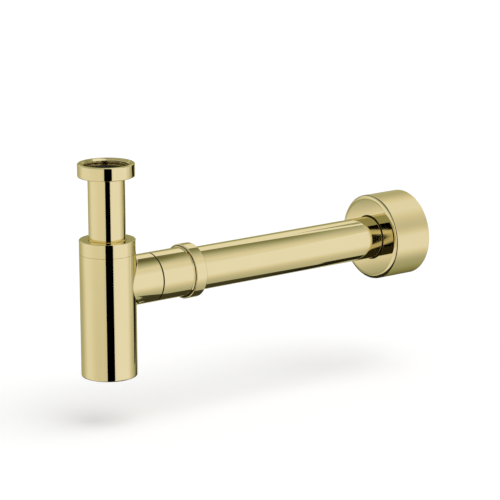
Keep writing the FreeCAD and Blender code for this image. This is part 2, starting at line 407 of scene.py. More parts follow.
# %% Turned brass
def turned_brass(along):
    """Brass as the lathe leaves it: rings 0.25 mm apart across the axis, and a duller, yellower tone.

    Blender's wave texture makes one band in each 0.1 pi / scale metres, so the scale is 0.1 pi / ring_pitch.
    """
    ring_pitch = 0.25 * MM
    direction = "X" if along == ALONG_X else "Z"
    tree, place, close = blank_material("turned_brass_" + direction.lower())
    rings = shader(tree, "TexWave", {
        "Vector": place, "Scale": 0.1 * np.pi / ring_pitch, "Distortion": 0.6, "Detail": 2.0,
    }, bands_direction=direction)
    rings = rings.node.outputs["Fac"]
    clouds = shader(tree, "TexNoise", {"Vector": place, "Scale": 160.0, "Detail": 3.0})
    tone = ramp(tree, clouds, (0.66, 0.545, 0.265), (0.76, 0.655, 0.36))
    grooves = shader(tree, "Bump", {"Strength": 0.4, "Distance": 0.000015, "Height": rings})
    return close(shader(tree, "BsdfPrincipled", {
        "Base Color": tone,
        "Metallic": 1.0,
        "Roughness": between(tree, rings, 0.07, 0.14),
        "Normal": grooves,
    }))


turned_upright = turned_brass(ALONG_Z)
turned_level = turned_brass(ALONG_X)

# %% [markdown]
# ### Painted slot shade
#
# Where two pieces meet, a narrow slot is left, and it should show as a dark line of shade. Rendered
# shadow alone would not show that: mirror walls throw light down to the bottom of a slot. So the walls of
# such slots get a nearly black, rough finish of their own, which is painted shade.


# %% Painted slot shade
def tarnished_brass():
    """Painted shade for narrow slots: nearly black with brown patches of 1 mm, rough and a little uneven."""
    tree, place, close = blank_material("tarnished_brass")
    patches = shader(tree, "TexNoise", {"Vector": place, "Scale": 1000.0, "Detail": 3.0})
    return close(shader(tree, "BsdfPrincipled", {
        "Base Color": ramp(tree, patches, (0.012, 0.010, 0.006), (0.045, 0.035, 0.018)),
        "Metallic": 0.6,
        "Roughness": between(tree, patches, 0.55, 0.8),
        "Normal": shader(tree, "Bump", {"Strength": 0.5, "Distance": 0.00002, "Height": patches}),
    }))


slot_shade_finish = tarnished_brass()

# %% [markdown]
# ### Rubber and plastic
#
# The seals are moulded rubber: nearly black, matt, with a faint grey bloom and a fine grain. The slip
# rings are milky plastic with a satin skin and slow flow marks from the mould.


# %% Rubber and plastic
def black_rubber():
    """Moulded rubber: black with a grey bloom in 4 mm clouds and a grain of 0.3 mm."""
    tree, place, close = blank_material("black_rubber_finish")
    bloom = shader(tree, "TexNoise", {"Vector": place, "Scale": 250.0, "Detail": 4.0})
    grain = shader(tree, "TexNoise", {"Vector": place, "Scale": 3000.0, "Detail": 2.0})
    return close(shader(tree, "BsdfPrincipled", {
        "Base Color": ramp(tree, bloom, (0.006, 0.006, 0.006), (0.016, 0.016, 0.015)),
        "Roughness": between(tree, bloom, 0.6, 0.8),
        "Specular IOR Level": 0.15,
        "Normal": shader(tree, "Bump", {"Strength": 0.5, "Distance": 0.00002, "Height": grain}),
    }))


def white_plastic():
    """Milky moulded plastic: slow flow marks in the tone, a satin skin and some light that goes under it."""
    tree, place, close = blank_material("white_plastic_finish")
    flow = shader(tree, "TexNoise", {"Vector": place, "Scale": 120.0, "Detail": 3.0, "Distortion": 2.0})
    skin_grain = shader(tree, "TexNoise", {"Vector": place, "Scale": 1800.0, "Detail": 2.0})
    return close(shader(tree, "BsdfPrincipled", {
        "Base Color": ramp(tree, flow, (0.80, 0.80, 0.76), (0.88, 0.88, 0.85)),
        "Roughness": between(tree, flow, 0.32, 0.48),
        "Subsurface Weight": 0.15,
        "Subsurface Radius": (0.002, 0.002, 0.002),
        "Subsurface Scale": 0.5,
        "Normal": shader(tree, "Bump", {"Strength": 0.3, "Distance": 0.00001, "Height": skin_grain}),
    }))


rubber = black_rubber()
plastic = white_plastic()

# %% [markdown]
# ## The inlet
#
# A union nut pulls the trap up against the basin's waste. The waste's thread screws into the nut, lands
# on a rubber washer, and the washer lies on the flared end of the dip tube. The nut's thread is a real
# helix: a grid of angle and height whose radius rises and falls with the pitch of a G 1 1/4 thread, 11
# turns to an inch.

# %% Inlet nut
inlet_thread_pitch = 25.4 / 11
inlet_thread_depth = 1.48
nut_radius, nut_bottom, nut_top = reach("inlet_nut", ALONG_Z)
tube_hole_radius = tube_radius + slip
nut_edge = 1.0
nut_mouth = 1.8
undercut = 0.7
lip_top = nut_bottom + 1.7
nut_outside = outline([
    (tube_hole_radius, nut_bottom),
    (nut_radius, nut_bottom, nut_edge),
    (nut_radius, nut_top, nut_edge),
    (inlet_thread_radius + nut_mouth, nut_top),
])
nut_inside = outline([
    (inlet_thread_radius, 0),
    (inlet_thread_radius + undercut, -undercut),
    (inlet_thread_radius + undercut, lip_top),
    (tube_hole_radius, lip_top),
    (tube_hole_radius, nut_bottom),
])
nut_thread = threaded(
    inlet_thread_radius, inlet_thread_depth, inlet_thread_pitch, 0, nut_top, ALONG_Z,
    mouth=nut_mouth, finish=POLISHED,
)
piece("inlet_nut", [*turned(nut_outside, ALONG_Z), nut_thread, *turned(nut_inside, ALONG_Z, INSIDE)],
      polished, turned_upright)

# %% [markdown]
# ### Washer and dip tube
#
# The washer is a flat ring of rubber. The dip tube is drawn tube: its upper end is flared out flat, so
# that it hangs in the nut and carries the washer, and its lower end stands open in the water. Both are
# plain profiles.

# %% Inlet washer
washer_radius, washer_bottom, washer_top = reach("inlet_washer", ALONG_Z)
tube_bore_radius = tube_radius - tube_wall
rubber_edge = 0.3


def ring_outline(inner, outer, start, end, edge):
    """Closed profile of a plain ring with four rounded edges."""
    return outline([
        (inner, start, edge),
        (outer, start, edge),
        (outer, end, edge),
        (inner, end, edge),
    ], closed=True)


washer = ring_outline(tube_bore_radius, washer_radius, washer_bottom, washer_top, rubber_edge)
piece("inlet_washer", turned(washer, ALONG_Z), rubber)

# %% Dip tube
flare_radius, dip_end, flare_top = reach("inlet_tube", ALONG_Z)
flare_thickness = 1.2
sheet_edge = 0.2
flare_bottom = flare_top - flare_thickness
tube_outside = outline([
    (tube_bore_radius, dip_end),
    (tube_radius, dip_end, sheet_edge),
    (tube_radius, flare_bottom, sheet_edge),
    (flare_radius, flare_bottom, sheet_edge),
    (flare_radius, flare_top, sheet_edge),
    (tube_bore_radius + sheet_edge, flare_top),
])
tube_inside = outline([
    (tube_bore_radius + sheet_edge, flare_top),
    (tube_bore_radius, flare_top - sheet_edge),
    (tube_bore_radius, dip_end),
])
piece("inlet_tube", [*turned(tube_outside, ALONG_Z), *turned(tube_inside, ALONG_Z, INSIDE)],
      polished, turned_upright)

# %% [markdown]
# ## The collar
#
# The collar nut screws on the bottle's neck and squeezes a conical rubber seal on the dip tube. A plastic
# ring lies between them, so that the nut can turn without dragging the seal along. The collar is flush
# with the bottle and only a fine seam shows where they meet. Rubber and plastic are drawn a hair clear of
# what they press on, because faces that lie in one place would show through each other.

# %% Collar nut, slip ring and seal
neck_thread_pitch = 2.0
neck_thread_depth = 0.8
collar_wall = 2.0
collar_radius, shoulder, collar_top = reach("collar_nut", ALONG_Z)
collar_ceiling = reach("collar_slip_ring", ALONG_Z)[2]
collar_bore_radius = collar_radius - collar_wall
collar_edge = 0.6
hole_chamfer = 0.7
seam_half, seam_depth = 0.13, 0.4
collar_outside = outline([
    (collar_bore_radius, shoulder),
    (collar_radius - seam_depth, shoulder),
    (collar_radius, shoulder + seam_half),
    (collar_radius, collar_top, collar_edge),
    (tube_hole_radius + hole_chamfer, collar_top),
    (tube_hole_radius, collar_top - hole_chamfer),
    (tube_hole_radius, collar_ceiling),
])
collar_inside = outline([(tube_hole_radius, collar_ceiling), (collar_bore_radius, collar_ceiling)])
collar_thread = threaded(
    collar_bore_radius, neck_thread_depth, neck_thread_pitch, shoulder, collar_ceiling, ALONG_Z
)
piece("collar_nut", [
    *turned(collar_outside, ALONG_Z),
    collar_thread,
    *turned(collar_inside, ALONG_Z, INSIDE),
], polished, turned_upright)

ring_edge = 0.2
contact_gap = 0.03
collar_ring_radius, collar_ring_bottom, collar_ring_top = reach("collar_slip_ring", ALONG_Z)
collar_ring = ring_outline(
    tube_hole_radius, collar_ring_radius, collar_ring_bottom, collar_ring_top - contact_gap, ring_edge
)
piece("collar_slip_ring", turned(collar_ring, ALONG_Z), plastic)

seal_gap = 0.1
collar_taper = 1.4
collar_taper_height = 3.0
collar_seal_radius, collar_seal_bottom, collar_seal_top = reach("collar_seal", ALONG_Z)
collar_seal = outline([
    (tube_radius + seal_gap, collar_seal_bottom + contact_gap, rubber_edge),
    (collar_seal_radius - collar_taper, collar_seal_bottom + contact_gap, rubber_edge),
    (collar_seal_radius, collar_seal_bottom + collar_taper_height, rubber_edge),
    (collar_seal_radius, collar_seal_top - contact_gap, rubber_edge),
    (tube_radius + seal_gap, collar_seal_top - contact_gap, rubber_edge),
], closed=True)
piece("collar_seal", turned(collar_seal, ALONG_Z), rubber)

# %% [markdown]
# ## The bottle
#
# The bottle, its neck and its side branch are one casting. Two round walls meet at the branch, and the
# corner between them is softened by a small fillet. A boolean and a bevel could make that joint, but they
# leave long thin triangles that a mirror finish shows as dents.
#
# So the joint is worked out. Think of a ball of the fillet's radius that rolls round the corner and
# touches both walls. For each angle round the branch, the ball's centre is known, and so are the two
# points where it touches: they are the edges of the fillet. The bottle's wall is then a grid whose rows
# stop at those edges.


# %% The rolling ball
def ball_centres(turn, wall_radius, branch_radius, ball):
    """Centre of a ball that touches an upright wall and a level branch, at each angle round the branch.

    It is branch_radius + ball away from the branch's axis and wall_radius + ball away from the upright axis:
    y = (rb + ball) cos t, z = axis + (rb + ball) sin t, x = square root of (wall + ball)^2 - y^2.
    """
    y = (branch_radius + ball) * np.cos(turn)
    z = outlet_axis + (branch_radius + ball) * np.sin(turn)
    x = np.sqrt((wall_radius + ball) ** 2 - y**2)
    return np.stack([x, y, z], axis=-1)


def fillet_patch(wall_radius, branch_radius, ball, steps=10):
    """The fillet: from each ball centre, the arc between the touch on the branch and the touch on the wall.

    The arc's points are centre + ball * d, where d swings evenly between the two touch directions, and its
    normals are -d, since the ball lies outside the metal.
    """
    centre = ball_centres(angles, wall_radius, branch_radius, ball)
    to_branch = np.stack([np.zeros_like(angles), -np.cos(angles), -np.sin(angles)], axis=-1)
    to_wall = -centre * np.array([1, 1, 0]) / (wall_radius + ball)
    swing = np.linspace(0, 1, steps + 1)[:, None, None]
    whole = np.arccos(np.clip((to_branch * to_wall).sum(axis=-1), -1, 1))[:, None]
    direction = (np.sin((1 - swing) * whole) * to_branch + np.sin(swing * whole) * to_wall) / np.sin(whole)
    return centre + ball * direction, -direction, POLISHED


def wall_patch(wall_radius, branch_radius, ball, low, high, facing, finish):
    """An upright wall with a round window for the branch, as one grid of height and angle.

    Rows beside the window have the heights of the fillet's own samples. Each row runs from one side of the
    window to the other: angle = edge + s (2 pi - 2 edge), where edge is the window's half angle in that row
    and zero above and below it.
    """
    quarter = SIDES // 4
    turn = angles[: 2 * quarter + 1] - np.pi / 2
    centre = ball_centres(turn, wall_radius, branch_radius, ball)
    edge = np.concatenate([[0], np.arctan2(centre[:, 1], centre[:, 0]), [0]])[:, None]
    height = np.concatenate([[low], centre[:, 2], [high]])[:, None]
    share = np.linspace(0, 1, SIDES + 1)
    around = edge + share * (2 * np.pi - 2 * edge)
    normals = np.stack([np.cos(around), np.sin(around), np.zeros_like(around)], axis=-1)
    height = np.broadcast_to(height, around.shape)
    points = np.concatenate([wall_radius * normals[..., :2], height[..., None]], axis=-1)
    return points, facing * normals, finish


def branch_patch(wall_radius, branch_radius, ball, end, facing, finish):
    """A level branch wall from the fillet's edge, or the bare wall, to a flat end. x runs evenly between."""
    start = ball_centres(angles, wall_radius, branch_radius, ball)[:, 0]
    share = np.linspace(0, 1, 3)[:, None]
    normals = np.stack([np.zeros_like(angles), np.cos(angles), np.sin(angles)], axis=-1)
    points = branch_radius * normals + centre_of(ALONG_X)
    points = np.broadcast_to(points, (len(share), *points.shape)).copy()
    points[..., 0] = start + share * (end - start)
    return points, np.broadcast_to(facing * normals, points.shape), finish


print("bottle helpers ready")

# %% [markdown]
# ### All its walls
#
# The rest of the bottle is turned: a base with a crisp edge, a ledge for the collar, a neck with a thread
# and a conical seat, and a bored branch. The branch ends in half of a narrow slot, and the sleeve that
# follows has the other half. On the real trap such a slot shows as a fine dark line of shade, and here
# its walls are painted nearly black, as painted shade.

# %% The bottle itself
bottle_wall, branch_wall, neck_wall, shoulder_wall = 2.0, 1.5, 1.8, 2.1
thread_gap, web_gap, spigot_end_gap = 0.2, 0.4, 1.0
thread_over_branch = 0.5
waterway_step = 0.55
junction_ball = 3.0
base_edge, base_thickness, base_inner_edge = 1.5, 2.3, 3.0
connector_radius, spigot_start, connector_end = reach("outlet_connector", ALONG_X)
base, neck_top = reach("bottle", ALONG_Z)[1:]
branch_end = reach("bottle", ALONG_X)[2]
bottle_radius = collar_radius
bottle_bore_radius = bottle_radius - bottle_wall
branch_radius = connector_radius - thread_over_branch
waterway_radius = pipe_bore_radius - waterway_step
branch_bore_radius = branch_radius - branch_wall
branch_bore_floor = spigot_start - spigot_end_gap
neck_radius = collar_bore_radius - thread_gap
neck_bore_radius = neck_radius - neck_wall
web_hole_radius = tube_radius + web_gap
branch_slot_half, branch_slot_depth, branch_slot_edge = 0.6, 1.3, 0.1
base_outside = outline([(0, base), (bottle_radius, base, base_edge), (bottle_radius, base + base_edge)])
shoulder_ledge = outline([
    (bottle_radius, shoulder - seam_half),
    (bottle_radius - seam_depth, shoulder),
    (neck_radius, shoulder),
])
neck_inside = outline([
    (neck_radius, neck_top),
    (neck_bore_radius, neck_top),
    (neck_bore_radius, collar_seal_bottom + collar_taper_height),
    (neck_bore_radius - collar_taper, collar_seal_bottom),
    (web_hole_radius, collar_seal_bottom),
    (web_hole_radius, shoulder - shoulder_wall),
    (bottle_bore_radius, shoulder - shoulder_wall),
])
base_inside = outline([
    (bottle_bore_radius, base + base_thickness + base_inner_edge),
    (bottle_bore_radius, base + base_thickness, base_inner_edge),
    (0, base + base_thickness),
])
branch_mouth = outline([
    (branch_bore_radius, branch_end),
    (branch_bore_radius, branch_bore_floor),
    (waterway_radius, branch_bore_floor),
])
branch_front = outline([
    (branch_radius, branch_end - 2 * branch_slot_half),
    (branch_radius, branch_end - branch_slot_half, branch_slot_edge),
    (branch_radius - branch_slot_depth / 2, branch_end - branch_slot_half),
])
branch_slot = outline([
    (branch_radius - branch_slot_depth / 2, branch_end - branch_slot_half),
    (branch_radius - branch_slot_depth, branch_end - branch_slot_half),
    (branch_radius - branch_slot_depth, branch_end),
    (branch_bore_radius, branch_end),
])
neck_thread = threaded(
    neck_radius, -neck_thread_depth, neck_thread_pitch, shoulder, neck_top, ALONG_Z, run_out=1.2
)
outer_joint = (bottle_radius, branch_radius, junction_ball)
sharp = 0.0
inner_joint = (bottle_bore_radius, waterway_radius, sharp)
outward, inward = 1, -1
piece("bottle", [
    *turned(base_outside, ALONG_Z),
    wall_patch(*outer_joint, base + base_edge, shoulder - seam_half, outward, POLISHED),
    fillet_patch(*outer_joint),
    branch_patch(*outer_joint, branch_end - 2 * branch_slot_half, outward, POLISHED),
    *turned(shoulder_ledge, ALONG_Z),
    *turned(branch_front, ALONG_X),
    # The slot's walls are painted nearly black, as painted shade.
    *turned(branch_slot, ALONG_X, SLOT_SHADE),
    *turned(branch_mouth, ALONG_X, INSIDE),
    branch_patch(*inner_joint, branch_bore_floor, inward, INSIDE),
    wall_patch(
        *inner_joint, base + base_thickness + base_inner_edge, shoulder - shoulder_wall, inward, INSIDE
    ),
    *turned(base_inside, ALONG_Z, INSIDE),
    *turned(neck_inside, ALONG_Z, INSIDE),
    neck_thread,
], polished, turned_upright, slot_shade_finish)

# %% [markdown]
# ## The outlet connector
#
# A sleeve is pushed and screwed into the branch until a narrow slot is left. An O-ring seals its spigot.
# Its far end is a socket for the waste pipe with a short outside thread, where the raised outlet nut
# presses a second conical seal round the pipe.

# %% Connector and O-ring
outlet_thread_depth = 0.45
spigot_gap, socket_gap, seat_gap = 0.1, 0.2, 0.2
spigot_edge, spigot_tip, groove_width, groove_wall = 0.3, 2.0, 2.0, 0.8
socket_past_branch = 2.5
pipe_radius, pipe_start, pipe_end = reach("outlet_pipe", ALONG_X)
outlet_seal_radius, outlet_seal_start, outlet_seal_end = reach("outlet_seal", ALONG_X)
sleeve_end = reach("outlet_nut", ALONG_X)[1]
sleeve_start = branch_end + spigot_gap
spigot_radius = branch_bore_radius - spigot_gap
socket_radius = pipe_radius + socket_gap
socket_floor = branch_end + socket_past_branch
groove_start = spigot_start + spigot_tip
groove_radius = waterway_radius + groove_wall
outlet_seat_radius = outlet_seal_radius + seat_gap
outlet_nose_radius = socket_radius + seat_gap
outlet_taper = (outlet_seal_radius - outlet_nose_radius) / (connector_end - outlet_seal_start)
outlet_seat_start = connector_end - (outlet_seat_radius - socket_radius) / outlet_taper
connector_spigot = outline([
    (waterway_radius, spigot_start),
    (spigot_radius, spigot_start, spigot_edge),
    (spigot_radius, groove_start),
    (groove_radius, groove_start),
    (groove_radius, groove_start + groove_width),
    (spigot_radius, groove_start + groove_width),
    (spigot_radius, sleeve_start),
])
connector_slot = outline([
    (spigot_radius, sleeve_start),
    (branch_radius - branch_slot_depth, sleeve_start),
    (branch_radius - branch_slot_depth, sleeve_start + branch_slot_half),
    (branch_radius - branch_slot_depth / 2, sleeve_start + branch_slot_half),
])
shoulder_bevel, shoulder_edge, shoulder_gap = 1.1, 0.25, 0.3
shoulder_end = sleeve_end - shoulder_gap
connector_sleeve = outline([
    (branch_radius - branch_slot_depth / 2, sleeve_start + branch_slot_half),
    (branch_radius, sleeve_start + branch_slot_half, branch_slot_edge),
    (branch_radius, shoulder_end - shoulder_bevel, shoulder_edge),
    (branch_radius + shoulder_bevel, shoulder_end, shoulder_edge / 2),
    (branch_radius + shoulder_bevel / 2, shoulder_end),
])
connector_gap = outline([
    (branch_radius + shoulder_bevel / 2, shoulder_end),
    (connector_radius, shoulder_end),
    (connector_radius, sleeve_end),
])
connector_inside = outline([
    (connector_radius, connector_end),
    (outlet_seat_radius, connector_end),
    (socket_radius, outlet_seat_start),
    (socket_radius, socket_floor),
    (waterway_radius, socket_floor),
    (waterway_radius, spigot_start),
])
connector_thread = threaded(
    connector_radius, -outlet_thread_depth, neck_thread_pitch, sleeve_end, connector_end, ALONG_X,
    run_out=1.2,
)
piece("outlet_connector", [
    *turned(connector_spigot, ALONG_X, INSIDE),
    # The slot's walls and the faces in the gap before the nut are painted nearly black, as painted shade.
    *turned(connector_slot, ALONG_X, SLOT_SHADE),
    *turned(connector_sleeve, ALONG_X),
    *turned(connector_gap, ALONG_X, SLOT_SHADE),
    connector_thread,
    *turned(connector_inside, ALONG_X, INSIDE),
], polished, turned_level, slot_shade_finish)

cord_radius, cord_start, cord_end = reach("connector_o_ring", ALONG_X)
cord_half = (cord_end - cord_start) / 2
cord = ring_outline(cord_radius - 2 * cord_half, cord_radius, cord_start, cord_end, cord_half)
piece("connector_o_ring", turned(cord, ALONG_X), rubber)

# %% [markdown]
# ### The outlet nut
#
# The sleeve flares out to a bevelled shoulder, and the nut stops a hair before it. The faces in the gap
# are painted nearly black, as painted shade, and draw a dark line round the shoulder. The nut itself is a
# plain ring with soft edges, bored and threaded inside, with a slip ring and a conical seal like those of
# the collar.

# %% Outlet nut, slip ring and seal
outlet_nut_radius, outlet_nut_start, outlet_nut_end = reach("outlet_nut", ALONG_X)
outlet_ring_radius, outlet_ring_start, outlet_ring_end = reach("outlet_slip_ring", ALONG_X)
outlet_nut_wall = 1.8
outlet_edge = 0.8
outlet_bore_radius = outlet_nut_radius - outlet_nut_wall
outlet_face_radius = outlet_nut_radius - 1.1 * outlet_edge
pipe_hole_radius = pipe_radius + slip
outlet_nut_face = outline([
    (outlet_bore_radius, outlet_nut_start),
    (outlet_face_radius, outlet_nut_start),
])
outlet_nut_outside = outline([
    (outlet_face_radius, outlet_nut_start),
    (outlet_nut_radius, outlet_nut_start, outlet_edge),
    (outlet_nut_radius, outlet_nut_end, outlet_edge),
    (pipe_hole_radius, outlet_nut_end, ring_edge),
    (pipe_hole_radius, outlet_ring_end),
])
outlet_nut_inside = outline([(pipe_hole_radius, outlet_ring_end), (outlet_bore_radius, outlet_ring_end)])
outlet_nut_thread = threaded(
    outlet_bore_radius, outlet_thread_depth, neck_thread_pitch, outlet_nut_start, outlet_ring_end, ALONG_X
)
piece("outlet_nut", [
    # The nut's face in the gap is painted nearly black, as painted shade.
    *turned(outlet_nut_face, ALONG_X, SLOT_SHADE),
    *turned(outlet_nut_outside, ALONG_X),
    outlet_nut_thread,
    *turned(outlet_nut_inside, ALONG_X, INSIDE),
], polished, turned_level, slot_shade_finish)

outlet_ring = ring_outline(
    pipe_hole_radius, outlet_ring_radius, outlet_ring_start, outlet_ring_end - contact_gap, ring_edge
)
piece("outlet_slip_ring", turned(outlet_ring, ALONG_X), plastic)

seal_nose_edge = 0.1
outlet_seal = outline([
    (pipe_radius + seal_gap, outlet_seal_start, seal_nose_edge),
    (outlet_nose_radius, outlet_seal_start, seal_nose_edge),
    (outlet_seal_radius, connector_end, rubber_edge),
    (outlet_seal_radius, outlet_seal_end - contact_gap, rubber_edge),
    (pipe_radius + seal_gap, outlet_seal_end - contact_gap, rubber_edge),
], closed=True)
piece("outlet_seal", turned(outlet_seal, ALONG_X), rubber)

# %% [markdown]
# ## The waste pipe
#
# The pipe is a plain tube with softened ends, which runs from the socket to the drain in the wall.

# %% Waste pipe
pipe_outside = outline([
    (pipe_bore_radius, pipe_start),
    (pipe_radius, pipe_start, sheet_edge),
    (pipe_radius, pipe_end, sheet_edge),
    (pipe_bore_radius, pipe_end),
])
pipe_inside = outline([(pipe_bore_radius, pipe_end), (pipe_bore_radius, pipe_start)])
piece("outlet_pipe", [*turned(pipe_outside, ALONG_X), *turned(pipe_inside, ALONG_X, INSIDE)],
      polished, turned_level)

# %% [markdown]
# ## The wall flange
#
# The flange is a deep cup that slides along the pipe and hides the hole in the wall. Its front plate is
# flat and curves back at the edge along a quarter of an ellipse, and a fine seam runs round that edge,
# where plate and barrel meet; its walls are painted nearly black, as painted shade. A bevel modifier makes
# round edges, not elliptic ones, so the edge is worked out. A rubber grommet in the plate grips the pipe,
# and shows as a thin black ring.

# %% Wall flange and grommet
flange_radius, flange_front, flange_back = reach("wall_flange", ALONG_X)
lip_radius, grommet_front, grommet_back = reach("flange_grommet", ALONG_X)
flange_wall = 1.6
lip_thickness, lip_height = 1.5, 2.8
flange_inner_edge, flange_rim = 1.6, 0.3
flange_bore_radius = flange_radius - flange_wall
flange_plate_back = grommet_back - lip_thickness
flange_hole_radius = lip_radius - lip_height
crown_width, crown_depth = 4.5, 2.0
seam_from, seam_to, rim_seam_depth = 64, 78, 0.6


def crown(first, last):
    """A stretch of the plate's crowned edge as a strip of points and normals, between two angles in degrees.

    The edge is a quarter of an ellipse: the radius grows by crown_width * sin t while the place along the
    axis moves back by crown_depth * (1 - cos t). Its normal is (sin t / width, -cos t / depth).
    """
    turn = np.radians(np.linspace(first, last, ARC_STEPS + 1))
    outward = flange_radius - crown_width * (1 - np.sin(turn))
    back = flange_front + crown_depth * (1 - np.cos(turn))
    normals = unit(np.stack([np.sin(turn) / crown_width, -np.cos(turn) / crown_depth], axis=1))
    return np.stack([outward, back], axis=1), normals


plate_edge = crown(0, seam_from)
barrel_edge = crown(seam_to, 90)
seam_floor = (plate_edge[0][-1] + barrel_edge[0][0]) / 2 - rim_seam_depth * plate_edge[1][-1]
rim_seam = outline([tuple(plate_edge[0][-1]), tuple(seam_floor), tuple(barrel_edge[0][0])])
flange_outside = outline([
    (flange_radius, flange_front + crown_depth),
    (flange_radius, flange_back, flange_rim),
    (flange_bore_radius, flange_back, flange_rim),
    (flange_bore_radius, flange_plate_back, flange_inner_edge),
    (flange_hole_radius, flange_plate_back),
    (flange_hole_radius, flange_front, ring_edge),
    (flange_radius - crown_width, flange_front),
])
# The flange has two finishes only, so its painted slot shade is the second and not the third.
SEAM_SHADE = 1
piece("wall_flange", [
    *turned([plate_edge, barrel_edge, *flange_outside], ALONG_X),
    # The seam's walls are painted nearly black, as painted shade.
    *turned(rim_seam, ALONG_X, SEAM_SHADE),
], polished, slot_shade_finish)

grommet_neck = flange_hole_radius - seal_gap
grommet = outline([
    (pipe_radius + seal_gap, grommet_front, rubber_edge),
    (grommet_neck, grommet_front, rubber_edge),
    (grommet_neck, flange_plate_back + contact_gap),
    (lip_radius, flange_plate_back + contact_gap, rubber_edge),
    (lip_radius, grommet_back, rubber_edge),
    (pipe_radius + seal_gap, grommet_back, rubber_edge),
], closed=True)
piece("flange_grommet", turned(grommet, ALONG_X), rubber)

# %% [markdown]
# ## The camera
#
# The trap is seen from its open side, a little from above, with a long lens that hardly narrows the far
# end. The camera stands on a sphere round a target point: azimuth and elevation say where, and a small
# roll turns the picture level.

# %% Camera
view_azimuth = math.radians(37.556)
view_elevation = math.radians(13.116)
view_roll = math.radians(-0.331)
view_distance = 2460.1 * MM
view_target = np.array([152.73, 0, -91.2]) * MM
SENSOR = 36.0
FRAME_PIXELS = 500
FOCAL_PIXELS = 2783.7
toward_camera = np.array([-math.sin(view_azimuth), -math.cos(view_azimuth), 0])
rightward = np.array([math.cos(view_azimuth), -math.sin(view_azimuth), 0])
backward = math.cos(view_elevation) * toward_camera + np.array([0, 0, math.sin(view_elevation)])
upward = np.cross(backward, rightward)
camera_axes = np.stack([
    math.cos(view_roll) * rightward + math.sin(view_roll) * upward,
    math.cos(view_roll) * upward - math.sin(view_roll) * rightward,
    backward,
], axis=1)
camera = bpy.data.objects.new("camera", bpy.data.cameras.new("camera"))
camera.data.sensor_width = SENSOR
camera.data.lens = FOCAL_PIXELS * SENSOR / FRAME_PIXELS
camera_place = Matrix.Translation(view_target + view_distance * backward)
camera.matrix_world = camera_place @ Matrix(camera_axes).to_4x4()
bpy.context.scene.collection.objects.link(camera)
bpy.context.scene.camera = camera
print("camera", [round(value, 3) for value in camera.location], "lens", round(camera.data.lens, 1))

# %% [markdown]
# ## The studio
#
# A mirror has no look of its own: it shows what stands round it. A photographer puts such a piece in a
# white tent and hangs black and grey cards in it, so that dark lines draw its shape. The same is done
# here. The tent and the cards are seen by glossy rays only. The camera sees a white background and a pale
# floor, and soft light from all sides reaches rubber, plastic and floor at a plain level.
#
# Each card is a mesh of light. Its brightness is worked out by a formula at every point of a grid, stored
# in the mesh as a colour, and read by one emission material.


# %% Sheets of light
def glow_material():
    """Light of the colour that is stored in the mesh."""
    material = bpy.data.materials.new("studio_glow")
    material.use_nodes = True
    tree = material.node_tree
    tree.nodes.clear()
    colour = shader(tree, "Attribute", {}, attribute_name="glow")
    light = shader(tree, "Emission", {"Color": colour, "Strength": 1.0})
    shader(tree, "OutputMaterial", {"Surface": light})
    return material


glow = glow_material()


def rising(value, start, width):
    """0 below start, 1 above start + width, and a smooth step between."""
    return smooth((value - start) / width)


def falling(value, start, width):
    """0 above start, 1 below start - width, and a smooth step between."""
    return smooth((start - value) / width)


def light_colour(brightness, cool):
    """Colour of the light for a brightness from 0 to 1.

    Dim light is warm, as in a room with brown walls, and only full light is white. Red is the brightness
    itself. Green swings 4 % about it along one sine wave. Blue is 55 % of it in the dark, climbs to 83 %
    where the brightness is 0.6, and to 100 % at full light. Where cool is 1, green is 108 % and blue 100 %.
    """
    green = 1 + 0.042 * np.sin(2 * np.pi * (brightness - 0.2) / 0.81)
    blue = 0.55 + 0.28 * rising(brightness, 0.2, 0.4) + 0.17 * rising(brightness, 0.85, 0.15)
    green = green + cool * (1.08 - green)
    blue = blue + cool * (1.00 - blue)
    return np.stack([brightness, brightness * green, brightness * blue, np.ones_like(brightness)], axis=-1)


def card(name, points, brightness, cool=0.0):
    """A sheet of light in the studio: a grid of places in metres and a grid of brightness."""
    rows, columns = brightness.shape
    corner = np.arange(rows * columns).reshape(rows, columns)
    faces = np.stack([corner[:-1, :-1], corner[1:, :-1], corner[1:, 1:], corner[:-1, 1:]], axis=-1)
    mesh = bpy.data.meshes.new(name)
    mesh.from_pydata(points.reshape(-1, 3), [], faces.reshape(-1, 4))
    stored = mesh.color_attributes.new("glow", "FLOAT_COLOR", "POINT")
    stored.data.foreach_set("color", light_colour(brightness, cool).ravel())
    mesh.materials.append(glow)
    shape = bpy.data.objects.new(name, mesh)
    bpy.context.scene.collection.objects.link(shape)
    shape.visible_camera = False
    shape.visible_diffuse = False
    shape.visible_transmission = False
    shape.visible_shadow = False
    print(f"studio: {name}, brightness {brightness.min():.2f} to {brightness.max():.2f}")
    return shape


print("light of one material:", glow.name)


# %% [markdown]
# ### The tent
#
# The tent is a large ball of light round the trap. A place on it is named by its turn, in degrees to the
# right of the camera, and by its rise above the horizon. Upright pieces mirror only a thin level ring of
# it, so its brightness from turn to turn draws the bottle from left to right: dim at the far left,
# bright, a little dimmer towards the camera, bright again, and dim at the back. Level pieces mirror a
# ring that runs over the top and under the floor: full light above, falling off below. On the left, the
# sky is dimmer and a little cooler, and far back on the left the ground is dark.


# %% Tent
def look(turn, rise):
    """Unit direction at a turn to the right of the camera and a rise above the horizon, in degrees."""
    turn, rise = np.radians(turn)[..., None], np.radians(rise)[..., None]
    level = np.cos(turn) * toward_camera + np.sin(turn) * rightward
    return np.cos(rise) * level + np.sin(rise) * np.array([0, 0, 1])


studio_centre = np.array([0, 0, outlet_axis * MM])


def ball_card(name, radius, turn, rise, brightness, cool=0.0):
    """A card bent to a ball round the studio's centre: each point is centre + radius * direction."""
    card(name, studio_centre + radius * look(turn, rise), brightness, cool)


tent_radius = 1.6
tent_turn, tent_rise = np.meshgrid(np.linspace(-180, 180, 241), np.linspace(-90, 90, 121))
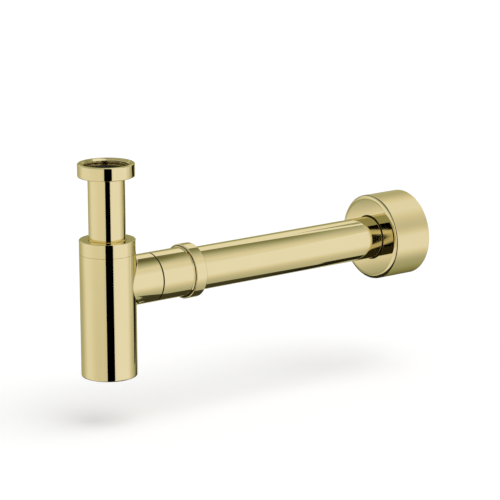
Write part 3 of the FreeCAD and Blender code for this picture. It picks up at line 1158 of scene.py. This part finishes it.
# Left wall: dim at the far left, then bright, then dimmer in two steps towards the camera
left_start = -135 - 10 * rising(tent_rise, -15, 5)
left_wall = 0.53 + 0.41 * rising(tent_turn, left_start, 45)
left_wall -= (0.14 - 0.09 * rising(tent_rise, -18, 10)) * rising(tent_turn, -85, 45)
left_wall -= 0.06 * rising(tent_turn, -20, 14)
# Right wall: bright, and dim towards the back
right_wall = 0.95 + 0.05 * rising(tent_turn, 25, 12)
right_wall -= 0.45 * rising(tent_turn, 84, 38) * rising(tent_rise, -45, 20)
walls = np.where(tent_turn < 10, left_wall, right_wall)
# Behind the trap the walls are a quarter dimmer above the horizon, and the sky begins higher up
behind = rising(np.abs(tent_turn), 140, 20)
walls = walls * (1 - 0.25 * behind * rising(tent_rise, 0, 8))
sky = rising(tent_rise, 13 + 5 * behind, 8)
# The sky is dimmer on the left, and the ground falls off on the right and far back on the left
dim_side = rising(tent_turn, -175, 30) * falling(tent_turn, 20, 40)
sky_level = 1 - 0.55 * dim_side * rising(tent_rise, 12, 25)
ground = 1 - 0.52 * falling(tent_rise, -18, 42) * rising(tent_turn, 10, 60)
ground *= 1 - 0.9 * falling(tent_turn, -110, 20) * falling(tent_rise, -18, 8)
tent_light = ((1 - sky) * walls + sky * sky_level) * ground
ball_card("tent", tent_radius, tent_turn, tent_rise, tent_light, cool=0.6 * sky * dim_side)

# %% [markdown]
# ### Black flags
#
# Three dark flags stand upright in the tent. The one in front, on the camera's side, draws the broad dark
# line down the bottle, the tube and the nuts. It stands near and reaches high up, so the flange's plate
# shows it as well, by way of the pipe. A narrow flag stands behind its right edge: the bottle can't see
# it, but the mirrored end of the pipe can. The one at the back draws the fine dark line that parts the
# right edge of each upright piece from the white background. It is black below and grey above.

# %% Flags
front_radius, edge_radius, back_radius = 0.47, 0.60, 1.2
front_turn, front_rise = np.meshgrid(np.linspace(-5.2, 25.3, 16), np.linspace(-90, 75, 60))
ball_card("front_flag", front_radius, front_turn, front_rise, np.zeros_like(front_turn))
edge_turn, edge_rise = np.meshgrid(np.linspace(21.0, 25.3, 4), np.linspace(-28, 28, 20))
ball_card("edge_flag", edge_radius, edge_turn, edge_rise, np.zeros_like(edge_turn))
back_turn, back_rise = np.meshgrid(np.linspace(125, 152, 12), np.linspace(-44, 40, 36))
back_light = 0.02 + 0.38 * rising(back_rise, 18, 8)
ball_card("back_flag", back_radius, back_turn, back_rise, back_light)

# %% [markdown]
# ### Cards above and below
#
# A grey card hangs over the pipe. Its back edge is sharp and gives the branch, the sleeve and the pipe a
# dark line under their bright top. Towards the front it fades into the white of the tent. A black card
# lies under the pipe and gives the dark band along its lower side. It ends short of the wall flange, and
# its front corner runs out to a point, so the band on the branch ends just before the bottle. A second
# black card lies under the bottle and keeps the corner below the branch dark.


# %% Level cards
def level_card(name, x, y, height, brightness):
    """A flat card at a height above the outlet's axis."""
    card(name, np.stack([x, y, np.full_like(x, studio_centre[2] + height)], axis=-1), brightness)


over_height, below_height, corner_height = 0.5, -0.3, -0.32
over_x, over_share = np.meshgrid(np.linspace(0.25, 0.80, 80), np.linspace(0, 1, 90))
# The back edge runs slantwise, and the front edge is straight
over_back = 0.227 - 0.95 * (over_x - 0.44)
over_front = -1.0
over_y = over_back + over_share * (over_front - over_back)
# Dark from the back edge to over_start, then a slow fade to white. Far along the pipe the dark is softer
over_dark = 0.14 + 0.115 * rising(over_x, 0.36, 0.08)
over_dark = over_dark + 0.2 * rising(over_x, 0.55, 0.1) * falling(over_y, over_back, 0.06)
over_start = 0.14 + 0.5 * (over_back - 0.189) - 0.06 * falling(over_x, 0.42, 0.04)
over_fade = falling(over_y, over_start, 0.54)
over_light = over_dark + (0.90 - over_dark) * over_fade + 0.10 * falling(over_y, -0.45, 0.5)
level_card("overhead_card", over_x, over_y, over_height, over_light)

under_x, under_share = np.meshgrid(np.linspace(0.2125, 0.522, 120), np.linspace(0, 1, 20))
# The front edge slants. Near the bottle it steps forward and then back again, which leaves a pointed corner
under_front = -0.042 + 0.34 * (under_x - 0.25)
under_front -= 0.085 * falling(under_x, 0.25, 0.022)
under_front += 0.12 * falling(under_x, 0.229, 0.0165)
under_back = 0.10 + 0.2 * rising(under_x, 0.23, 0.05)
under_y = under_front + under_share * (under_back - under_front)
under_light = 0.02 + 0.04 * falling(under_x, 0.46, 0.1)
level_card("below_card", under_x, under_y, below_height, under_light)

corner_x, corner_y = np.meshgrid(np.linspace(-0.1, 0.21, 8), np.linspace(-0.2, 0.4, 12))
level_card("corner_card", corner_x, corner_y, corner_height, np.full_like(corner_x, 0.03))

# %% [markdown]
# ### Cards for the wall flange
#
# The flange is the widest piece, and it stands apart at the far end, so it gets two cards of its own. A
# curved sheet says how bright each side of its barrel is. It bends round the barrel's axis, 20 cm out,
# and stands further along it, because that is where the barrel's mirror rays go. A small card beside the
# pipe is mirrored in the flat front plate: bright at the height of the pipe, dim above and below.

# %% Flange cards
sheet_radius = 0.200
sheet_x, sheet_turn = np.meshgrid(np.linspace(0.422, 0.490, 8), np.linspace(10, 332, 130))
# From the back over the top to the front: brighter, a dimmer belt, bright again, and ever darker below
sheet_light = 0.56 + 0.40 * rising(sheet_turn, 39, 50)
sheet_light -= 0.25 * rising(sheet_turn, 106, 46) * falling(sheet_turn, 180, 27)
sheet_light += 0.02 * rising(sheet_turn, 165, 27)
sheet_light -= 0.48 * rising(sheet_turn, 208, 41)
sheet_light -= 0.36 * rising(sheet_turn, 236, 92)
sheet_angle = np.radians(sheet_turn)
sheet = np.stack([sheet_x, sheet_radius * np.cos(sheet_angle), sheet_radius * np.sin(sheet_angle)], axis=-1)
card("barrel_sheet", sheet + studio_centre, np.maximum(sheet_light, 0.02))

plate_x, plate_z = np.meshgrid(np.linspace(0.15, 0.26, 8), np.linspace(-0.20, -0.07, 53))
plate_y, plate_middle = 0.116, -0.133
plate_light = 1.0 - 0.58 * rising(np.abs(plate_z - plate_middle), 0.014, 0.030)
card("plate_card", np.stack([plate_x, np.full_like(plate_x, plate_y), plate_z], axis=-1), plate_light)

# %% [markdown]
# ### Background, floor and soft light
#
# The background is white for the rays that show it: camera, glossy and transmission rays. Diffuse rays
# get a plainer level, so that colours look about as they are written. The floor is pale and keeps a soft
# shadow. It lies below the lowest place that the bottle can slide to, so no pose reaches through it.


# %% World and floor
def shows_background(tree):
    """1 for camera, glossy and transmission rays, and 0 for light on matt surfaces."""
    rays = tree.nodes.new("ShaderNodeLightPath").outputs
    seen = shader(tree, "Math", {0: rays["Is Camera Ray"], 1: rays["Is Glossy Ray"]}, operation="MAXIMUM")
    return shader(tree, "Math", {0: seen, 1: rays["Is Transmission Ray"]}, operation="MAXIMUM")


SKY_LEVEL = 0.55
SUN_LEVEL = 0.45
FLOOR_LIFT = 0.27
world = bpy.data.worlds.new("white_studio")
world.use_nodes = True
world_tree = world.node_tree
world_tree.nodes.clear()
level = between(world_tree, shows_background(world_tree), SKY_LEVEL, 1.0)
background = shader(world_tree, "Background", {"Color": (1, 1, 1, 1), "Strength": level})
shader(world_tree, "OutputWorld", {"Surface": background})
bpy.context.scene.world = world

bottle_slide = next(joint for joint in frame["joints"] if joint["name"] == "bottle_height")
floor_drop = -bottle_slide["range_m"][0]
floor_gap = 2 * MM
floor_height = cad_box[0].z - floor_drop - floor_gap
floor_half = 4.0
floor_mesh = bpy.data.meshes.new("floor")
side = np.array([[-1, -1], [1, -1], [1, 1], [-1, 1]]) * floor_half
floor_mesh.from_pydata(np.column_stack([side, np.full(4, floor_height)]), [], [(0, 1, 2, 3)])
floor = bpy.data.objects.new("floor", floor_mesh)
bpy.context.scene.collection.objects.link(floor)
floor.visible_glossy = False
floor_tree, _, floor_close = blank_material("pale_floor")
floor_white = shader(floor_tree, "BsdfDiffuse", {"Color": (0.8, 0.8, 0.8, 1)})
floor_lift = between(floor_tree, shows_background(floor_tree), 0.0, FLOOR_LIFT)
floor_glow = shader(floor_tree, "Emission", {"Color": (1, 1, 1, 1), "Strength": floor_lift})
floor_mesh.materials.append(floor_close(shader(floor_tree, "AddShader", {0: floor_white, 1: floor_glow})))

sun_data = bpy.data.lights.new("soft_sun", "SUN")
sun_data.energy = SUN_LEVEL * math.pi
sun_data.angle = math.radians(60)
sun = bpy.data.objects.new("soft_sun", sun_data)
sun.rotation_euler = (math.radians(20), math.radians(15), 0)
sun.visible_glossy = False
bpy.context.scene.collection.objects.link(sun)
bpy.context.scene.view_settings.view_transform = "Standard"
print("floor at z", round(floor_height, 4), "m")
